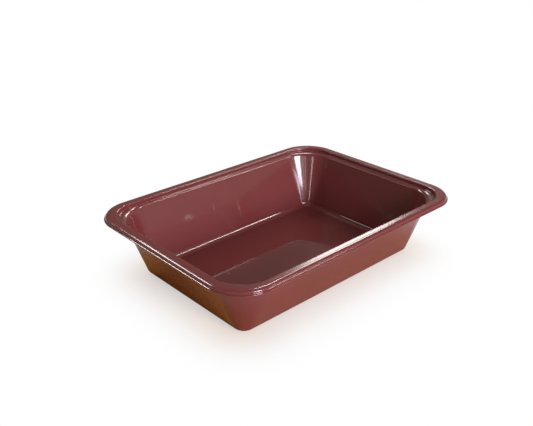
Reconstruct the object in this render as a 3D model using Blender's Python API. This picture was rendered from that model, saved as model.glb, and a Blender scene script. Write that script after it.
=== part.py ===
"""Photographic developing tray: one thin-walled moulding with a stepped, rolled rim and leaning walls.

The tray stands on z = 0, centred on the origin, with its long side along X. Every surface is
one closed section carried round the tray: each point of the section is an inset from the rim's
outermost edge, a height, and the radius of the plan corner at that point. Units are metres.
"""
import math

import bmesh
import bpy
from mathutils import Vector

# Overall size, over the rim
LENGTH = 0.290
WIDTH = 0.212
HEIGHT = 0.063

# The sheet that the tray is moulded in, and how far its walls lean out from the vertical
WALL = 0.0023
WALL_LEAN = math.radians(20.3)

# Rim: a flat flange, an edge that stands a hair above it and rolls over, and a short lip below
# a fine parting line
FLANGE = 0.0106
EDGE_BAND = 0.0062
EDGE_RISE = 0.0002
CREST = 0.0005
ROLL_REACH = 0.0040
ROLL_DROP = 0.0020
LIP_PROUD = 0.0003
LIP_HEIGHT = 0.0020

# Step inside the flange: a short riser down to a narrow ledge at the top of the wall
STEP_DROP = 0.0040
RISER_RUN = 0.0005
LEDGE = 0.0032

# Plan corner radii: outer rim, flange mouth, wall top and the flat of the floor
RIM_CORNER = 0.0345
MOUTH_CORNER = 0.0275
WELL_CORNER = 0.0355
FLOOR_CORNER = 0.0042

# Roundings of the section
FLOOR_FILLET = 0.0068
BASE_ROUND = 0.0080
MOUTH_ROUND = 0.0009
LEDGE_FILLET = 0.0007
LEDGE_ROUND = 0.0013
PARTING_ROUND = 0.00015
LIP_ROUND = 0.0009
LIP_BACK_ROUND = 0.0004
UNDER_FILLET = 0.0006

# Facets: round each plan corner, along the rolled edge, the floor fillet and the small roundings
CORNER_STEPS = 14
ROLL_STEPS = 6
FLOOR_STEPS = 6
ROUND_STEPS = 3

# Glossy maroon moulding
COLOUR = (0.150, 0.028, 0.026, 1.0)
ROUGHNESS = 0.12


def clear_scene():
    """Remove what the scene holds before the tray is built."""
    for obj in list(bpy.data.objects):
        bpy.data.objects.remove(obj, do_unlink=True)


def blend(start, end, share):
    """The value a share of the way from start to end."""
    return start + (end - start) * share


def rounded(before, corner, after, radius, steps):
    """Replace a sharp section corner by an arc, carrying the plan radius along it."""
    point = Vector(corner[:2])
    arm_in = Vector(before[:2]) - point
    arm_out = Vector(after[:2]) - point
    half_angle = arm_in.angle(arm_out) / 2
    reach = radius / math.tan(half_angle)
    first = point + arm_in.normalized() * reach
    last = point + arm_out.normalized() * reach
    plan_first = blend(corner[2], before[2], reach / arm_in.length)
    plan_last = blend(corner[2], after[2], reach / arm_out.length)
    bisector = (arm_in.normalized() + arm_out.normalized()).normalized()
    centre = point + bisector * (radius / math.sin(half_angle))
    sweep = math.pi - 2 * half_angle
    spoke, end_spoke = first - centre, last - centre
    turn = math.copysign(sweep, spoke.x * end_spoke.y - spoke.y * end_spoke.x)
    points = []
    for step in range(steps + 1):
        share = step / steps
        angle = turn * share
        arc = Vector((spoke.x * math.cos(angle) - spoke.y * math.sin(angle),
                      spoke.x * math.sin(angle) + spoke.y * math.cos(angle)))
        place = centre + arc
        points.append((place.x, place.y, blend(plan_first, plan_last, share)))
    return points


def rim_corner(inset):
    """Plan corner radius on the flange, from the outer edge to the mouth."""
    return blend(RIM_CORNER, MOUTH_CORNER, inset / FLANGE)


def rim_point(inset, height):
    """A section point on the rim, with the rim's own plan corner."""
    return (inset, height, rim_corner(inset))


def rolled_edge():
    """The rim's edge: a narrow crest, then a quarter ellipse down to the parting line."""
    points = [rim_point(LIP_PROUD + ROLL_REACH + CREST, HEIGHT)]
    for step in range(ROLL_STEPS + 1):
        angle = math.pi / 2 * step / ROLL_STEPS
        inset = LIP_PROUD + ROLL_REACH * (1 - math.sin(angle))
        points.append(rim_point(inset, HEIGHT - ROLL_DROP * (1 - math.cos(angle))))
    return points


def section():
    """The closed section from the middle of the floor, over the rim, to the middle of the base."""
    lean = math.tan(WALL_LEAN)
    wall_across = WALL / math.cos(WALL_LEAN)
    half_turn = math.tan((math.pi / 2 - WALL_LEAN) / 2)

    # Inside: the flange steps down to the ledge, and the wall runs from there to the floor
    flange_top = HEIGHT - EDGE_RISE
    ledge_height = HEIGHT - STEP_DROP
    well_inset = FLANGE + RISER_RUN + LEDGE
    floor_inset = well_inset + (ledge_height - WALL) * lean
    fillet_reach = FLOOR_FILLET * half_turn
    floor_plan = FLOOR_CORNER + fillet_reach
    margin = FLOOR_CORNER / 4
    flat_inset = floor_inset + fillet_reach + margin
    flat = (flat_inset, WALL, FLOOR_CORNER - margin)
    floor_edge = (floor_inset, WALL, floor_plan)
    well_edge = (well_inset, ledge_height, WELL_CORNER)
    riser_foot = (FLANGE + RISER_RUN, ledge_height, MOUTH_CORNER)
    mouth = rim_point(FLANGE, flange_top)
    band = rim_point(EDGE_BAND, flange_top)
    roll = rolled_edge()

    # Lip: a hair proud of the rolled edge, then back under the flange one wall inside the top
    lip_top = HEIGHT - ROLL_DROP
    lip_foot = lip_top - LIP_HEIGHT
    lip_back = LIP_PROUD + WALL
    under_flange = flange_top - WALL
    lip_high = rim_point(0.0, lip_top)
    lip_low = rim_point(0.0, lip_foot)
    lip_inner = rim_point(lip_back, lip_foot)
    lip_root = rim_point(lip_back, under_flange)

    # Outside: the same step and wall, one thickness out
    plan_slope = (WELL_CORNER - floor_plan) / (ledge_height - WALL)
    riser_back = FLANGE - WALL
    under_ledge = ledge_height - WALL
    outer_top = well_inset + WALL * lean - wall_across
    outer_foot = floor_inset + WALL * lean - wall_across
    outer_plan_top = WELL_CORNER - WALL * plan_slope + wall_across
    outer_plan_foot = floor_plan - WALL * plan_slope + wall_across
    base_flat = outer_foot + BASE_ROUND * half_turn + margin
    riser_top = (riser_back, under_flange, rim_corner(riser_back) + WALL / 2)
    riser_low = (riser_back, under_ledge, rim_corner(riser_back) + WALL / 2)
    wall_top = (outer_top, under_ledge, outer_plan_top)
    wall_foot = (outer_foot, 0.0, outer_plan_foot)
    base = (base_flat, 0.0, outer_plan_foot - (base_flat - outer_foot))

    points = [flat]
    points += rounded(flat, floor_edge, well_edge, FLOOR_FILLET, FLOOR_STEPS)
    points += rounded(floor_edge, well_edge, riser_foot, LEDGE_ROUND, ROUND_STEPS)
    points += rounded(well_edge, riser_foot, mouth, LEDGE_FILLET, ROUND_STEPS)
    points += rounded(riser_foot, mouth, band, MOUTH_ROUND, ROUND_STEPS)
    points += [band]
    points += roll
    points += rounded(roll[-1], lip_high, lip_low, PARTING_ROUND, ROUND_STEPS)
    points += rounded(lip_high, lip_low, lip_inner, LIP_ROUND, ROUND_STEPS)
    points += rounded(lip_low, lip_inner, lip_root, LIP_BACK_ROUND, ROUND_STEPS)
    points += rounded(lip_inner, lip_root, riser_top, UNDER_FILLET, ROUND_STEPS)
    points += rounded(lip_root, riser_top, riser_low, UNDER_FILLET, ROUND_STEPS)
    points += [riser_low]
    points += rounded(riser_low, wall_top, wall_foot, UNDER_FILLET, ROUND_STEPS)
    points += rounded(wall_top, wall_foot, base, BASE_ROUND, FLOOR_STEPS)
    points += [base]
    return points


def plan_loop(inset, height, radius):
    """A rounded rectangle at one height, counter-clockwise seen from above."""
    reach_x = LENGTH / 2 - inset - radius
    reach_y = WIDTH / 2 - inset - radius
    loop = []
    for quarter, (side_x, side_y) in enumerate(((1, 1), (-1, 1), (-1, -1), (1, -1))):
        for step in range(CORNER_STEPS + 1):
            angle = math.pi / 2 * (quarter + step / CORNER_STEPS)
            loop.append(Vector((side_x * reach_x + radius * math.cos(angle),
                                side_y * reach_y + radius * math.sin(angle),
                                height)))
    return loop


def moulded_plastic():
    """Dark maroon plastic with a high gloss."""
    material = bpy.data.materials.new("maroon_gloss_plastic")
    material.use_nodes = True
    shader = material.node_tree.nodes["Principled BSDF"]
    shader.inputs["Base Color"].default_value = COLOUR
    shader.inputs["Roughness"].default_value = ROUGHNESS
    shader.inputs["Metallic"].default_value = 0.0
    material.diffuse_color = COLOUR
    return material


def build_tray():
    """Carry the section round the plan and close it with the floor and the base."""
    mesh_builder = bmesh.new()
    loops = []
    for inset, height, radius in section():
        loops.append([mesh_builder.verts.new(point) for point in plan_loop(inset, height, radius)])
    for inner, outer in zip(loops, loops[1:]):
        count = len(inner)
        for index in range(count):
            after = (index + 1) % count
            mesh_builder.faces.new((inner[index], outer[index], outer[after], inner[after]))
    mesh_builder.faces.new(loops[0])
    mesh_builder.faces.new(reversed(loops[-1]))
    bmesh.ops.recalc_face_normals(mesh_builder, faces=mesh_builder.faces)
    mesh = bpy.data.meshes.new("tray")
    mesh_builder.to_mesh(mesh)
    mesh_builder.free()
    mesh.shade_smooth()
    mesh.set_sharp_from_angle(angle=math.radians(35))
    mesh.materials.append(moulded_plastic())
    tray = bpy.data.objects.new("tray", mesh)
    bpy.context.scene.collection.objects.link(tray)
    return tray


clear_scene()
build_tray()
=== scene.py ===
import math

import bpy
from mathutils import Matrix, Vector, noise


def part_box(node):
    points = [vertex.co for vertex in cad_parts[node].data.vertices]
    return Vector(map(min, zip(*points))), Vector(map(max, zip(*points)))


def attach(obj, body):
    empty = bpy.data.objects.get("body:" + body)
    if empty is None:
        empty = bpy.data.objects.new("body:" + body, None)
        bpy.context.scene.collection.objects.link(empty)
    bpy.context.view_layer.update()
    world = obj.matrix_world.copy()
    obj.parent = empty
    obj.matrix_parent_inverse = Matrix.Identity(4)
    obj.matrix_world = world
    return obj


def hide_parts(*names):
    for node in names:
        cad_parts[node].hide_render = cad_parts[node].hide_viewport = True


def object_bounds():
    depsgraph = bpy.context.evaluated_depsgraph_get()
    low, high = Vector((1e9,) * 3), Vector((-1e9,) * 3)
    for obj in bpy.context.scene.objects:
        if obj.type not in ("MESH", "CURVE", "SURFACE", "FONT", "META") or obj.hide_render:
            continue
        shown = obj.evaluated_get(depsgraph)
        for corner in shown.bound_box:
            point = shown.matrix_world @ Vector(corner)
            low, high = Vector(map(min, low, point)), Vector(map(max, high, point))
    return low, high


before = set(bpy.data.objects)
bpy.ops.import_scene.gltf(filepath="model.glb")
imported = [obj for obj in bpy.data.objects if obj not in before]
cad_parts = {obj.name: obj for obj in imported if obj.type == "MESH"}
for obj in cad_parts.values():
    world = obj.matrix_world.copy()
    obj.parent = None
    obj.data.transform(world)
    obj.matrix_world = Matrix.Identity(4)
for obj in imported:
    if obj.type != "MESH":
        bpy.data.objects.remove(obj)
cadLow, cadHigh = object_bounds()
mm = 0.001


def hexToLinear(code):
    channels = []
    for start in (1, 3, 5):
        value = int(code[start:start + 2], 16) / 255
        channels.append(value / 12.92 if value <= 0.04045 else ((value + 0.055) / 1.055) ** 2.4)
    return (*channels, 1.0)


mixFrom, mixTo, mixOut = 6, 7, 2  # the colour sockets of a Mix node


def addNode(tree, kind, settings=None, links=None):
    node = tree.nodes.new(kind)
    for name, value in (settings or {}).items():
        if isinstance(name, str) and hasattr(node, name):
            setattr(node, name, value)
        else:
            node.inputs[name].default_value = value
    for name, socket in (links or {}).items():
        tree.links.new(socket, node.inputs[name])
    return node


def mix(start, end, share):
    return start + (end - start) * share


# The tray's section, in millimetres: insets count inwards from the rim's outermost edge
trayShape = {
    "wall": 2.3,
    "wallLean": 20.3,       # degrees out from the vertical
    "flange": 10.6,
    "edgeBand": 5.7,        # inset where the flange starts to rise to its crest
    "flangeDroop": 0.18,    # the flange falls this much from the mouth to its edge band
    "edgeRise": 0.025,      # and its crest stands this much above the band
    "edgeTurns": (          # from the crest outwards: radius, tilt of the skin at its end, straight after
        (6.0, 14, 0.9),     # crowned top
        (4.0, 24, 0.0),
        (0.5, 54, 0.0),
        (2.2, 66, 0.0),     # first ridge
        (0.3, 76, 0.42),
        (0.15, 36, 0.0),
        (1.6, 64, 0.0),     # second ridge
        (0.3, 122, 0.13),   # groove
        (0.12, 20, 0.5),    # shelf over the bead
        (0.3, 54, 0.0),
        (1.2, 66, 0.0),     # bead at the foot of the lip
        (0.35, 180, 0.0),
    ),
    "lipBack": 2.6,         # inset of the lip's hidden side
    "stepDrop": 4.0,        # flange down to the ledge
    "riserRun": 0.5,
    "ledge": 3.2,
    "rimCorner": 34.5,      # plan radii
    "mouthCorner": 27.5,
    "wellCorner": 35.5,
    "floorCorner": 4.2,
    "floorFillet": 6.8,     # roundings of the section
    "baseRound": 8.0,
    "mouthRound": 1.4,
    "ledgeFillet": 0.7,
    "ledgeRound": 3.0,
    "lipBackRound": 0.4,
    "underFillet": 0.6,
}

# How fine the shell is, and how far its skin strays from true
trayMesh = {
    "cornerSteps": 32,
    "longSteps": 44,
    "shortSteps": 32,
    "arcSteps": 6,
    "hiddenSteps": 3,       # roundings under the rim
    "filletSteps": 14,
    "turnSteps": 5,
    "wallRows": 14,
    "stepRows": 3,          # on the ledge and on the riser
    "flangeRows": 5,
    "underRows": 4,
    "flatRows": 9,
    "waveHeight": 0.045,    # millimetres
    "waveLength": 48.0,
    "rippleHeight": 0.010,
    "rippleLength": 15.0,
    "trueBelow": 0.5,       # no wave below this height, where it stands
    "trueAbove": 60.0,      # nor above this one, where the skin faces straight up
    "straightUp": 0.999,
    "normalWeight": 50,
}


def roundedCorner(before, corner, after, radius, steps):
    # swaps a sharp corner of the section for an arc, and carries the plan radius along it
    point = Vector(corner[:2])
    armIn = Vector(before[:2]) - point
    armOut = Vector(after[:2]) - point
    halfAngle = armIn.angle(armOut) / 2
    reach = radius / math.tan(halfAngle)
    first = point + armIn.normalized() * reach
    last = point + armOut.normalized() * reach
    planFirst = mix(corner[2], before[2], reach / armIn.length)
    planLast = mix(corner[2], after[2], reach / armOut.length)
    bisector = (armIn.normalized() + armOut.normalized()).normalized()
    centre = point + bisector * (radius / math.sin(halfAngle))
    spoke, endSpoke = first - centre, last - centre
    turn = math.copysign(math.pi - 2 * halfAngle, spoke.cross(endSpoke))
    points = []
    for step in range(steps + 1):
        place = centre + Matrix.Rotation(turn * step / steps, 2) @ spoke
        points.append((place.x, place.y, mix(planFirst, planLast, step / steps)))
    return points


def edgeChain(turns, steps):
    # the rim's edge drawn like a bent wire: each turn is an arc to a new tilt, then a straight
    out, drop, tilt = 0.0, 0.0, 0.0
    points = [(out, drop)]
    for radius, tiltTo, straight in turns:
        end = math.radians(tiltTo)
        bend = math.copysign(radius, end - tilt)
        for step in range(1, steps + 1):
            now = mix(tilt, end, step / steps)
            points.append((out + bend * (math.sin(now) - math.sin(tilt)),
                           drop + bend * (math.cos(tilt) - math.cos(now))))
        out, drop = points[-1]
        tilt = end
        if straight:
            out, drop = out + straight * math.cos(tilt), drop + straight * math.sin(tilt)
            points.append((out, drop))
    return points


def between(start, end, rows):
    # evenly spaced section points strictly between two others
    steps = range(1, rows)
    return [tuple(mix(a, b, step / rows) for a, b in zip(start, end)) for step in steps]


def traySection(shape, fine, height):
    # section points and their skin marks, from the floor over the rim to the base
    lean = math.tan(math.radians(shape["wallLean"]))
    wall = shape["wall"]
    wallAcross = wall / math.cos(math.radians(shape["wallLean"]))
    halfTurn = math.tan((math.pi / 2 - math.radians(shape["wallLean"])) / 2)

    def rimPoint(inset, z):
        return (inset, z, mix(shape["rimCorner"], shape["mouthCorner"], inset / shape["flange"]))

    bandZ = height - shape["flangeDroop"]
    crestZ = bandZ + shape["edgeRise"]
    ledgeZ = height - shape["stepDrop"]
    wellInset = shape["flange"] + shape["riserRun"] + shape["ledge"]
    floorInset = wellInset + (ledgeZ - wall) * lean
    filletReach = shape["floorFillet"] * halfTurn
    floorPlan = shape["floorCorner"] + filletReach
    margin = shape["floorCorner"] / 4
    floorFlat = (floorInset + filletReach + margin, wall, shape["floorCorner"] - margin)
    floorEdge = (floorInset, wall, floorPlan)
    wellEdge = (wellInset, ledgeZ, shape["wellCorner"])
    riserFoot = (shape["flange"] + shape["riserRun"], ledgeZ, shape["mouthCorner"])
    mouth = rimPoint(shape["flange"], height)
    band = rimPoint(shape["edgeBand"], bandZ)

    edge = edgeChain(shape["edgeTurns"], fine["turnSteps"])
    reach = max(out for out, drop in edge)
    edge = [rimPoint(reach - out, crestZ - drop) for out, drop in edge]
    rise = []
    for step in range(1, fine["arcSteps"]):  # a soft S from the flange up to the crest
        share = step / fine["arcSteps"]
        ease = share * share * (3 - 2 * share)
        rise.append(rimPoint(mix(band[0], edge[0][0], share), mix(band[1], edge[0][1], ease)))
    lipInner = rimPoint(shape["lipBack"], edge[-1][1])
    underFlange = bandZ - wall
    lipRoot = rimPoint(shape["lipBack"], underFlange)

    planSlope = (shape["wellCorner"] - floorPlan) / (ledgeZ - wall)
    riserBack = shape["flange"] - wall
    underLedge = ledgeZ - wall
    outerTop = wellInset + wall * lean - wallAcross
    outerFoot = floorInset + wall * lean - wallAcross
    outerPlanTop = shape["wellCorner"] - wall * planSlope + wallAcross
    outerPlanFoot = floorPlan - wall * planSlope + wallAcross
    baseFlatInset = outerFoot + shape["baseRound"] * halfTurn + margin
    riserPlan = rimPoint(riserBack, 0.0)[2] + wall / 2
    riserTop = (riserBack, underFlange, riserPlan)
    riserLow = (riserBack, underLedge, riserPlan)
    wallTop = (outerTop, underLedge, outerPlanTop)
    wallFoot = (outerFoot, 0.0, outerPlanFoot)
    baseFlat = (baseFlatInset, 0.0, outerPlanFoot - (baseFlatInset - outerFoot))

    arc, hidden = fine["arcSteps"], fine["hiddenSteps"]
    fillet = roundedCorner(floorFlat, floorEdge, wellEdge, shape["floorFillet"], fine["filletSteps"])
    ledgeTurn = roundedCorner(floorEdge, wellEdge, riserFoot, shape["ledgeRound"], arc)
    ledgeRoot = roundedCorner(wellEdge, riserFoot, mouth, shape["ledgeFillet"], arc)
    mouthTurn = roundedCorner(riserFoot, mouth, band, shape["mouthRound"], arc)
    lipHeel = roundedCorner(edge[-1], lipInner, lipRoot, shape["lipBackRound"], hidden)
    underRoot = roundedCorner(lipInner, lipRoot, riserTop, shape["underFillet"], hidden)
    underRiser = roundedCorner(lipRoot, riserTop, riserLow, shape["underFillet"], hidden)
    underStep = roundedCorner(riserLow, wallTop, wallFoot, shape["underFillet"], hidden)
    foot = roundedCorner(wallTop, wallFoot, baseFlat, shape["baseRound"], fine["filletSteps"])

    rows = fine["wallRows"]
    stretches = [  # points, then their edge wear, moulded grain, roughness and haze
        ([floorFlat], 0.0, 0.0, 0.05, 0.1),
        (fillet, 0.05, 0.0, 0.07, 0.3),
        (between(fillet[-1], ledgeTurn[0], rows), 0.0, 0.0, 0.12, 0.9),
        (ledgeTurn, 0.6, 0.0, 0.07, 0.5),
        (between(ledgeTurn[-1], ledgeRoot[0], fine["stepRows"]), 0.1, 0.0, 0.10, 0.3),
        (ledgeRoot, 0.0, 0.0, 0.08, 0.3),
        (between(ledgeRoot[-1], mouthTurn[0], fine["stepRows"]), 0.1, 0.0, 0.10, 0.3),
        (mouthTurn, 0.9, 0.2, 0.07, 0.2),
        (between(mouthTurn[-1], band, fine["flangeRows"]), 0.2, 1.0, 0.13, 0.3),
        ([band], 0.2, 1.0, 0.13, 0.3),
        (rise, 0.3, 0.5, 0.12, 0.2),
        (edge, 0.8, 0.05, 0.08, 0.15),
        (lipHeel, 0.6, 0.0, 0.12, 0.2),
        (underRoot, 0.0, 0.0, 0.15, 0.3),
        (between(underRoot[-1], underRiser[0], fine["underRows"]), 0.0, 0.0, 0.15, 0.3),
        (underRiser, 0.0, 0.0, 0.15, 0.3),
        ([riserLow], 0.2, 0.0, 0.15, 0.3),
        (underStep, 0.0, 0.0, 0.15, 0.3),
        (between(underStep[-1], foot[0], rows), 0.0, 0.0, 0.14, 0.4),
        (foot, 0.8, 0.0, 0.15, 0.4),
        ([baseFlat], 0.8, 0.0, 0.28, 0.8),
    ]
    section, marks = [], []
    for points, *stretchMarks in stretches:
        section += points
        marks += [stretchMarks] * len(points)
    return section, marks


def planLoop(point, half, fine):
    # a rounded rectangle at one height, counter-clockwise seen from above
    inset, z, radius = point
    reach = Vector((half.x - inset - radius, half.y - inset - radius))
    corners = ((1, 1), (-1, 1), (-1, -1), (1, -1))
    loop = []
    for quarter, (sideX, sideY) in enumerate(corners):
        centre = Vector((sideX * reach.x, sideY * reach.y))
        for step in range(fine["cornerSteps"] + 1):
            angle = math.pi / 2 * (quarter + step / fine["cornerSteps"])
            loop.append((centre.x + radius * math.cos(angle), centre.y + radius * math.sin(angle), z))
        nextX, nextY = corners[(quarter + 1) % 4]
        angle = math.pi / 2 * (quarter + 1)
        after = (nextX * reach.x + radius * math.cos(angle), nextY * reach.y + radius * math.sin(angle), z)
        loop += between(loop[-1], after, fine["longSteps"] if quarter % 2 == 0 else fine["shortSteps"])
    return loop


def buildTray(shape, fine):
    low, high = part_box("tray")
    half = (high - low) / 2 / mm
    centre = (low + high) / 2
    section, marks = traySection(shape, fine, high.z / mm)
    loops = [planLoop(point, half, fine) for point in section]
    shares = [1 - step / fine["flatRows"] for step in range(1, fine["flatRows"])]
    floorLoops = [[(x * share, y * share, z) for x, y, z in loops[0]] for share in reversed(shares)]
    baseLoops = [[(x * share, y * share, z) for x, y, z in loops[-1]] for share in shares]
    loops = floorLoops + loops + baseLoops
    marks = [marks[0]] * len(shares) + marks + [marks[-1]] * len(shares)

    count = len(loops[0])
    points = [Vector(point) for loop in loops for point in loop]
    faces = []
    for row in range(len(loops) - 1):
        for index in range(count):
            after = (index + 1) % count
            faces.append((row * count + index, (row + 1) * count + index,
                          (row + 1) * count + after, row * count + after))
    floorMiddle, baseMiddle = len(points), len(points) + 1
    points += [Vector((0, 0, loops[0][0][2])), Vector((0, 0, 0))]
    last = (len(loops) - 1) * count
    for index in range(count):
        after = (index + 1) % count
        faces.append((floorMiddle, index, after))
        faces.append((baseMiddle, last + after, last + index))

    mesh = bpy.data.meshes.new("trayShell")
    place = Vector((centre.x, centre.y, 0.0))
    mesh.from_pydata([place + point * mm for point in points], [], faces)
    mesh.update()
    addSkinWaves(mesh, fine)
    for which, name in enumerate(("edgeWear", "mouldGrain", "skinRoughness", "scuffHaze")):
        values = [mark[which] for mark in marks for _ in range(count)]
        values += [marks[0][which], marks[-1][which]]
        mesh.attributes.new(name, "FLOAT", "POINT").data.foreach_set("value", values)
    mesh.shade_smooth()
    tray = bpy.data.objects.new("moulded_tray", mesh)
    bpy.context.scene.collection.objects.link(tray)
    weighted = tray.modifiers.new("flatFacesStayFlat", "WEIGHTED_NORMAL")
    weighted.mode = "FACE_AREA"
    weighted.weight = fine["normalWeight"]
    return tray


def addSkinWaves(mesh, fine):
    # a moulding is never dead true: a slow wave and a finer ripple, but none where it stands or on its top
    normals = [vertex.normal.copy() for vertex in mesh.vertices]
    for vertex, normal in zip(mesh.vertices, normals):
        standing = vertex.co.z < fine["trueBelow"] * mm
        flatTop = vertex.co.z > fine["trueAbove"] * mm and normal.z > fine["straightUp"]
        if standing or flatTop:
            continue
        wave = noise.noise(vertex.co / (fine["waveLength"] * mm)) * fine["waveHeight"]
        ripple = noise.noise(vertex.co / (fine["rippleLength"] * mm)) * fine["rippleHeight"]
        vertex.co += normal * (wave + ripple) * mm


# High-impact polystyrene, moulded against a polished tool: a deep gloss over a dense maroon,
# with a finely grained rim, hairline scratches from use, dried splashes and a little dust
plasticLook = {
    "maroon": "#682D2C",
    "faded": "#7A4340",     # where edges rub
    "dust": "#C9B8A8",
    "ior": 1.57,
    "gloss": 0.42,          # the polished share of the surface reflection
    "haze": 0.30,           # the share that fine scuffs scatter into a soft veil
    "hazeRoughness": 0.34,
    "grainSize": 1.3,       # millimetres; the tool's real grain is nearer 0.2, too fine to show here
    "grainDepth": 0.10,
    "grainStrength": 0.45,
    "mottleSize": 26.0,
    "mottleRange": (0.93, 1.07),    # brightness of the colour
    "scratchLength": 30.0,
    "scratchWidth": 0.7,    # real hairlines are under 0.1, too fine to show here
    "scratchTurns": (0.35, -0.6),   # radians from the long side
    "scratchCut": (0.70, 0.76),     # noise levels between which a hairline comes in
    "scratchDulling": 0.12,         # added roughness
    "rubCut": (0.5, 0.75),
    "rubFading": 0.35,              # share of the faded colour on a rubbed edge
    "rubDulling": 0.18,
    "speckSpacing": 15.0,
    "speckSize": 0.45,      # real specks are finer
    "speckLies": 0.9,       # least upward turn of the skin that holds dust
    "speckDulling": 0.6,
    "markGrain": 5.0,
    "markCut": (0.35, 0.65),
    "markDust": 0.22,       # share of the dust colour in a dried mark
    "markHaze": 0.3,
    "driedMarks": (         # place, half size in millimetres, and strength: splashes dried on the back wall
        ((-50.5, 82.0, 34.2), (10, 3, 4.5), 1.0),
        ((-17.5, 81.7, 33.5), (1.8, 3, 8), 0.6),
        ((14.0, 79.2, 26.0), (2.2, 3, 13), 0.5),
    ),
    "markLean": trayShape["wallLean"],  # the marks lie on the leaning wall
}


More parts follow.
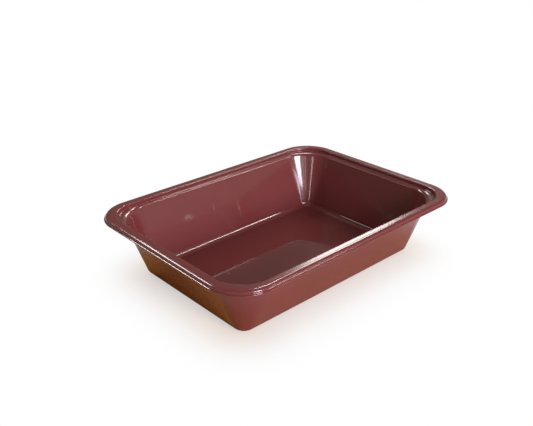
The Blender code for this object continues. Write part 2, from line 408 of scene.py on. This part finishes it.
def polystyreneMaterial(look):
    material = bpy.data.materials.new("polishedMouldedPolystyrene")
    material.use_nodes = True
    tree = material.node_tree
    shader = tree.nodes["Principled BSDF"]
    shader.inputs["IOR"].default_value = look["ior"]
    shader.inputs["Specular IOR Level"].default_value = look["gloss"]
    shader.inputs["Coat IOR"].default_value = look["ior"]
    shader.inputs["Coat Roughness"].default_value = look["hazeRoughness"]
    where = addNode(tree, "ShaderNodeTexCoord").outputs["Object"]
    wear = addNode(tree, "ShaderNodeAttribute", {"attribute_name": "edgeWear"}).outputs["Fac"]
    moulded = addNode(tree, "ShaderNodeAttribute", {"attribute_name": "mouldGrain"}).outputs["Fac"]
    polish = addNode(tree, "ShaderNodeAttribute", {"attribute_name": "skinRoughness"}).outputs["Fac"]
    scuffs = addNode(tree, "ShaderNodeAttribute", {"attribute_name": "scuffHaze"}).outputs["Fac"]

    perMetre = 1 / mm
    mottle = addNode(tree, "ShaderNodeTexNoise", {"Scale": perMetre / look["mottleSize"], "Detail": 3.0},
                     {"Vector": where}).outputs["Fac"]
    grain = addNode(tree, "ShaderNodeTexNoise", {"Scale": perMetre / look["grainSize"], "Detail": 2.0},
                    {"Vector": where}).outputs["Fac"]

    # hairlines run mostly along the tray, in two slightly turned families
    hairlines = []
    cutFrom, cutTo = look["scratchCut"]
    for turn in look["scratchTurns"]:
        stretch = addNode(tree, "ShaderNodeMapping",
                          {"Rotation": (0, 0, turn),
                           "Scale": (perMetre / look["scratchLength"], perMetre / look["scratchWidth"],
                                     perMetre / look["scratchLength"])},
                          {"Vector": where}).outputs["Vector"]
        lines = addNode(tree, "ShaderNodeTexNoise", {"Scale": 1.0, "Detail": 1.0},
                        {"Vector": stretch}).outputs["Fac"]
        hairlines.append(addNode(tree, "ShaderNodeMapRange", {"From Min": cutFrom, "From Max": cutTo},
                                 {"Value": lines}).outputs["Result"])
    hairline = addNode(tree, "ShaderNodeMath", {"operation": "MAXIMUM"},
                       {0: hairlines[0], 1: hairlines[1]}).outputs["Value"]

    # dried splashes, broken up by a grain of their own
    dried = None
    for spot, half, strength in look["driedMarks"]:
        placed = addNode(tree, "ShaderNodeMapping",
                         {"vector_type": "TEXTURE", "Location": [value * mm for value in spot],
                          "Rotation": (-math.radians(look["markLean"]), 0, 0),
                          "Scale": [value * mm for value in half]}, {"Vector": where}).outputs["Vector"]
        blot = addNode(tree, "ShaderNodeTexGradient", {"gradient_type": "SPHERICAL"},
                       {"Vector": placed}).outputs["Fac"]
        dried = addNode(tree, "ShaderNodeMath", {"operation": "MULTIPLY_ADD", 1: strength, 2: 0.0},
                        {0: blot, 2: dried} if dried else {0: blot}).outputs["Value"]
    patchy = addNode(tree, "ShaderNodeTexNoise", {"Scale": perMetre / look["markGrain"], "Detail": 4.0},
                     {"Vector": where}).outputs["Fac"]
    cutFrom, cutTo = look["markCut"]
    patchy = addNode(tree, "ShaderNodeMapRange", {"From Min": cutFrom, "From Max": cutTo},
                     {"Value": patchy}).outputs["Result"]
    dried = addNode(tree, "ShaderNodeMath", {"operation": "MULTIPLY"},
                    {0: dried, 1: patchy}).outputs["Value"]

    # a few dust specks, only where they can lie
    cells = addNode(tree, "ShaderNodeTexVoronoi", {"Scale": perMetre / look["speckSpacing"]},
                    {"Vector": where})
    near = addNode(tree, "ShaderNodeMath",
                   {"operation": "LESS_THAN", 1: look["speckSize"] / look["speckSpacing"]},
                   {0: cells.outputs["Distance"]}).outputs["Value"]
    facing = addNode(tree, "ShaderNodeNewGeometry").outputs["Normal"]
    upward = addNode(tree, "ShaderNodeSeparateXYZ", None, {"Vector": facing}).outputs["Z"]
    flat = addNode(tree, "ShaderNodeMath", {"operation": "GREATER_THAN", 1: look["speckLies"]},
                   {0: upward}).outputs["Value"]
    specks = addNode(tree, "ShaderNodeMath", {"operation": "MULTIPLY"},
                     {0: near, 1: flat}).outputs["Value"]

    # colour: a faint mottle, rubbed edges, dried marks and dust
    cutFrom, cutTo = look["rubCut"]
    rubNoise = addNode(tree, "ShaderNodeMapRange", {"From Min": cutFrom, "From Max": cutTo},
                       {"Value": grain})
    rub = addNode(tree, "ShaderNodeMath", {"operation": "MULTIPLY"},
                  {0: rubNoise.outputs["Result"], 1: wear}).outputs["Value"]
    dark, light = look["mottleRange"]
    shade = addNode(tree, "ShaderNodeMapRange", {"To Min": dark, "To Max": light}, {"Value": mottle})
    tinted = addNode(tree, "ShaderNodeHueSaturation", {"Color": hexToLinear(look["maroon"])},
                     {"Value": shade.outputs["Result"]}).outputs["Color"]
    rubShare = addNode(tree, "ShaderNodeMath", {"operation": "MULTIPLY", 1: look["rubFading"]},
                       {0: rub}).outputs["Value"]
    colour = addNode(tree, "ShaderNodeMix", {"data_type": "RGBA", mixTo: hexToLinear(look["faded"])},
                     {0: rubShare, mixFrom: tinted}).outputs[mixOut]
    dustShare = addNode(tree, "ShaderNodeMath", {"operation": "MULTIPLY_ADD", 1: look["markDust"]},
                        {0: dried, 2: specks}).outputs["Value"]
    colour = addNode(tree, "ShaderNodeMix", {"data_type": "RGBA", mixTo: hexToLinear(look["dust"])},
                     {0: dustShare, mixFrom: colour}).outputs[mixOut]
    tree.links.new(colour, shader.inputs["Base Color"])

    # gloss: the polish that each stretch was moulded with, duller on hairlines, rubbed edges and dust
    haze = addNode(tree, "ShaderNodeMath", {"operation": "MULTIPLY", 1: look["haze"]}, {0: scuffs})
    haze = addNode(tree, "ShaderNodeMath", {"operation": "MULTIPLY_ADD", 1: look["markHaze"]},
                   {0: dried, 2: haze.outputs["Value"]})
    tree.links.new(haze.outputs["Value"], shader.inputs["Coat Weight"])
    roughness = polish
    for mark, dulling in ((hairline, "scratchDulling"), (rub, "rubDulling"), (specks, "speckDulling")):
        roughness = addNode(tree, "ShaderNodeMath", {"operation": "MULTIPLY_ADD", 1: look[dulling]},
                            {0: mark, 2: roughness}).outputs["Value"]
    tree.links.new(roughness, shader.inputs["Roughness"])

    grainHeight = addNode(tree, "ShaderNodeMath", {"operation": "MULTIPLY"}, {0: grain, 1: moulded})
    bump = addNode(tree, "ShaderNodeBump",
                   {"Strength": look["grainStrength"], "Distance": look["grainDepth"] * mm},
                   {"Height": grainHeight.outputs["Value"]})
    tree.links.new(bump.outputs["Normal"], shader.inputs["Normal"])
    return material


tray = buildTray(trayShape, trayMesh)
tray.data.materials.append(polystyreneMaterial(plasticLook))
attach(tray, "root")
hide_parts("tray")
print("tray shell:", len(tray.data.polygons), "faces")

# Metres, mostly out from the rim's outline and negative under the rim: the card carries a painted shade,
# deeper and warmer, under the tray, and farther out it pales to white for the eye and for reflections
floorLook = {
    "side": 16.0,
    "card": "#F0ECE6",
    # painted shade: the card's colour under the tray, darker where the rim keeps light off it
    "shade": "#CDA886",
    "paintedEndShade": "#E2A646",  # painted shade, warmer beside the left end
    "frontward": (1, -1, 0),        # the painted shade cools along this line, from the left end to the front
    "endFrom": -0.080,
    "endTo": 0.0,
    "corner": 0.05,         # plan radius that the shades follow
    "shadeFrom": -0.020,
    "shadeTo": 0.018,
    "paleFrom": 0.010,
    "paleTo": 0.085,
    "seenFrom": -0.120,     # for the eye it pales sooner, and only a soft shadow stays
    "seenTo": 0.035,
}


def buildFloor(look):
    # matt card, plain and pale, which keeps the tray's shadow and has a painted shade under the tray
    reach = look["side"] / 2
    mesh = bpy.data.meshes.new("floorSheet")
    mesh.from_pydata([(-reach, -reach, 0), (reach, -reach, 0), (reach, reach, 0), (-reach, reach, 0)],
                     [], [(0, 1, 2, 3)])
    material = bpy.data.materials.new("mattCard")
    material.use_nodes = True
    tree = material.node_tree
    tree.nodes.remove(tree.nodes["Principled BSDF"])
    where = addNode(tree, "ShaderNodeTexCoord").outputs["Object"]
    folded = addNode(tree, "ShaderNodeVectorMath", {"operation": "ABSOLUTE"}, {0: where})
    middle = (cadHigh.x - look["corner"], cadHigh.y - look["corner"], 0)
    past = addNode(tree, "ShaderNodeVectorMath", {"operation": "SUBTRACT", 1: middle},
                   {0: folded.outputs["Vector"]})
    outside = addNode(tree, "ShaderNodeVectorMath", {"operation": "MAXIMUM", 1: (0, 0, 0)},
                      {0: past.outputs["Vector"]})
    away = addNode(tree, "ShaderNodeVectorMath", {"operation": "LENGTH"}, {0: outside.outputs["Vector"]})
    ramps = {}
    for ramp in ("shade", "pale", "seen"):
        ramps[ramp] = addNode(tree, "ShaderNodeMapRange",
                              {"interpolation_type": "SMOOTHSTEP",
                               "From Min": look["corner"] + look[ramp + "From"],
                               "From Max": look["corner"] + look[ramp + "To"]},
                              {"Value": away.outputs["Value"]}).outputs["Result"]
    along = addNode(tree, "ShaderNodeVectorMath", {"operation": "DOT_PRODUCT", 1: look["frontward"]},
                    {0: where})
    frontward = addNode(tree, "ShaderNodeMapRange",
                        {"interpolation_type": "SMOOTHSTEP", "From Min": look["endFrom"],
                         "From Max": look["endTo"]}, {"Value": along.outputs["Value"]})
    # painted shade under the tray, warmer toward the left end
    under = addNode(tree, "ShaderNodeMix",
                    {"data_type": "RGBA", mixFrom: hexToLinear(look["paintedEndShade"]),
                     mixTo: hexToLinear(look["shade"])},
                    {0: frontward.outputs["Result"]})
    # the painted shade under the tray fades out to the plain card
    cardAndPaintedShade = addNode(tree, "ShaderNodeMix", {"data_type": "RGBA", mixTo: hexToLinear(look["card"])},
                   {0: ramps["shade"], mixFrom: under.outputs[mixOut]})
    card = addNode(tree, "ShaderNodeBsdfDiffuse", None, {"Color": cardAndPaintedShade.outputs[mixOut]})
    glow = addNode(tree, "ShaderNodeEmission", {"Strength": 1.0})
    path = addNode(tree, "ShaderNodeLightPath")
    mirrored = addNode(tree, "ShaderNodeMath", {"operation": "MAXIMUM"},
                       {0: path.outputs["Is Glossy Ray"], 1: path.outputs["Is Transmission Ray"]})
    mirrored = addNode(tree, "ShaderNodeMath", {"operation": "MULTIPLY"},
                       {0: mirrored.outputs["Value"], 1: ramps["pale"]})
    share = addNode(tree, "ShaderNodeMath", {"operation": "MULTIPLY_ADD"},
                    {0: path.outputs["Is Camera Ray"], 1: ramps["seen"], 2: mirrored.outputs["Value"]})
    both = addNode(tree, "ShaderNodeMixShader", None,
                   {0: share.outputs["Value"], 1: card.outputs["BSDF"], 2: glow.outputs["Emission"]})
    tree.links.new(both.outputs["Shader"], tree.nodes["Material Output"].inputs["Surface"])
    floor = bpy.data.objects.new("floor", mesh)
    mesh.materials.append(material)
    bpy.context.scene.collection.objects.link(floor)


buildFloor(floorLook)
print("floor laid")

# Soft boxes round the tray: the bearing runs clockwise from +Y, and all angles are in degrees
studio = {
    "distance": 5.0,
    "tint": "#FFFDF9",      # of a box without its own
    "brightSide": 135,      # the room is lightest toward this bearing
    "sideFade": (-0.8, 0.6),        # across the room, from its shaded side
    "brightRoom": "#B8B2AB",
    "shadeRoom": "#6E6252",
    "ceiling": "#787674",
    "ceilingFade": (0.1, 0.8),      # up from the horizon
    "behind": "#FFFFFF",    # what the camera sees past the floor
    "boxes": {
        "keyFront": {"bearing": (170, 191), "lift": (12.5, 32), "radiance": 32.0, "tint": "#F3EFFF"},
        "keyRight": {"bearing": (131, 135.5), "lift": (27, 50), "radiance": 27.0, "tint": "#FFFBF4"},
        "backRight": {"bearing": (49.0, 59.7), "lift": (28.7, 41), "radiance": 12.0, "tilt": 21},
        "crestSliver": {"bearing": (45, 58), "lift": (45, 49), "radiance": 28.0},
        "backLeft": {"bearing": (-0.5, 12), "lift": (39.5, 50), "radiance": 22.0},
        "leftStrip": {"bearing": (240.5, 243), "lift": (10, 24), "radiance": 15.0},
        "lowLeft": {"bearing": (305, 316), "lift": (24, 29), "radiance": 6.0},
        "frontSliver": {"bearing": (201, 203), "lift": (12, 26), "radiance": 7.0},
        "frontSecondSliver": {"bearing": (210.5, 213), "lift": (12, 26), "radiance": 6.0},
    },
}


def direction(bearing, lift):
    around, above = math.radians(bearing), math.radians(lift)
    level = math.cos(above)
    return Vector((math.sin(around) * level, math.cos(around) * level, math.sin(above)))


def hangSoftBox(name, box, look):
    distance = look["distance"]
    bearing = sum(box["bearing"]) / 2
    lift = sum(box["lift"]) / 2
    spanX = math.radians(box["bearing"][1] - box["bearing"][0]) * math.cos(math.radians(lift))
    spanY = math.radians(box["lift"][1] - box["lift"][0])
    lamp = bpy.data.lights.new(name, "AREA")
    lamp.shape = "RECTANGLE"
    lamp.size = 2 * distance * math.tan(spanX / 2)
    lamp.size_y = 2 * distance * math.tan(spanY / 2)
    lamp.energy = box["radiance"] * math.pi * lamp.size * lamp.size_y
    lamp.color = hexToLinear(box.get("tint", look["tint"]))[:3]
    holder = bpy.data.objects.new(name, lamp)
    toward = direction(bearing, lift)
    holder.location = toward * distance
    level = Vector((-toward.y, toward.x, 0.0)).normalized()
    turn = Matrix((level, toward.cross(level), toward)).transposed()
    tilt = Matrix.Rotation(math.radians(box.get("tilt", 0)), 3, "Z")
    holder.rotation_euler = (turn @ tilt).to_euler()
    bpy.context.scene.collection.objects.link(holder)


def paintRoom(look):
    # a plain room round the tray: a light side, a shaded side and a ceiling, and white behind for the eye
    world = bpy.data.worlds.new("studioRoom")
    bpy.context.scene.world = world
    world.use_nodes = True
    tree = world.node_tree
    toward = addNode(tree, "ShaderNodeTexCoord").outputs["Generated"]
    across = addNode(tree, "ShaderNodeVectorMath",
                     {"operation": "DOT_PRODUCT", 1: direction(look["brightSide"], 0)}, {0: toward})
    fadeFrom, fadeTo = look["sideFade"]
    side = addNode(tree, "ShaderNodeMapRange", {"From Min": fadeFrom, "From Max": fadeTo},
                   {"Value": across.outputs["Value"]})
    walls = addNode(tree, "ShaderNodeMix",
                    {"data_type": "RGBA", mixFrom: hexToLinear(look["shadeRoom"]),
                     mixTo: hexToLinear(look["brightRoom"])},
                    {0: side.outputs["Result"]})
    up = addNode(tree, "ShaderNodeSeparateXYZ", None, {"Vector": toward}).outputs["Z"]
    fadeFrom, fadeTo = look["ceilingFade"]
    rise = addNode(tree, "ShaderNodeMapRange", {"From Min": fadeFrom, "From Max": fadeTo}, {"Value": up})
    room = addNode(tree, "ShaderNodeMix", {"data_type": "RGBA", mixTo: hexToLinear(look["ceiling"])},
                   {0: rise.outputs["Result"], mixFrom: walls.outputs[mixOut]})
    seen = addNode(tree, "ShaderNodeLightPath").outputs["Is Camera Ray"]
    shown = addNode(tree, "ShaderNodeMix", {"data_type": "RGBA", mixTo: hexToLinear(look["behind"])},
                    {0: seen, mixFrom: room.outputs[mixOut]})
    tree.links.new(shown.outputs[mixOut], tree.nodes["Background"].inputs["Color"])


for boxName, boxSettings in studio["boxes"].items():
    hangSoftBox(boxName, boxSettings, studio)
paintRoom(studio)
print("studio lit:", len(studio["boxes"]), "soft boxes")

# Camera fitted to the photograph's outline; angles in degrees, place in metres
viewpoint = {
    "place": (-0.41308, -0.43291, 0.33717),
    "yaw": 42.340,
    "pitch": 25.524,        # down from the horizon
    "roll": -0.2015,
    "lens": 46.446,         # millimetres on a 36 mm wide sensor
    "sensor": 36.0,
}


def placeCamera(look):
    data = bpy.data.cameras.new("viewCamera")
    data.sensor_fit = "HORIZONTAL"
    data.sensor_width = look["sensor"]
    data.lens = look["lens"]
    camera = bpy.data.objects.new("viewCamera", data)
    ahead = direction(look["yaw"], -look["pitch"])
    level = Vector((ahead.y, -ahead.x, 0.0)).normalized()
    upright = level.cross(ahead)
    tilt = math.radians(look["roll"])
    right = level * math.cos(tilt) + upright * math.sin(tilt)
    up = upright * math.cos(tilt) - level * math.sin(tilt)
    turn = Matrix((right, up, -ahead)).transposed().to_4x4()
    camera.matrix_world = Matrix.Translation(look["place"]) @ turn
    bpy.context.scene.collection.objects.link(camera)
    bpy.context.scene.camera = camera


placeCamera(viewpoint)
bpy.context.scene.view_settings.view_transform = "Standard"
print("camera placed")
